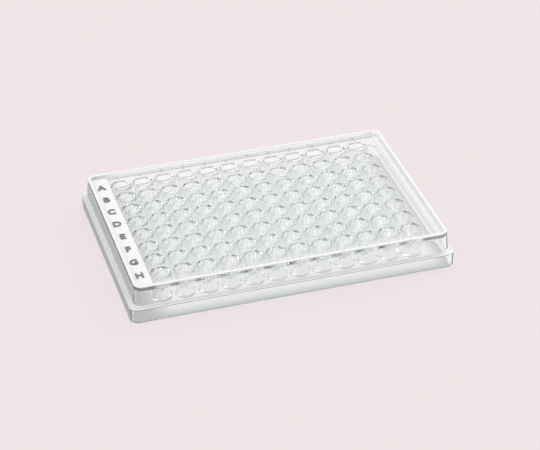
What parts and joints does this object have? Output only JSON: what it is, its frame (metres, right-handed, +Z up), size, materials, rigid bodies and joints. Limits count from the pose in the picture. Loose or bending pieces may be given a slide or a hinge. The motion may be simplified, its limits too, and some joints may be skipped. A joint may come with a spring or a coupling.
{
  "type": "well plate",
  "caption": "Clear moulded plastic plate with a grid of round flat-bottomed wells in a sunken deck, a raised rim and a wide stepped skirt.",
  "frame": {"origin": "centre of the footprint, on the plane that the skirt stands on", "axes": "+X along the rows, from column 1 to column 12; +Y from row H to row A; +Z up, out of the wells"},
  "size_m": [0.1278, 0.0854, 0.0143],
  "materials": {
    "clear_polystyrene": "clear and polished, with a satin deck margin"
  },
  "bodies": {
    "root": {"well_plate": "clear_polystyrene"}
  },
  "joints": []
}
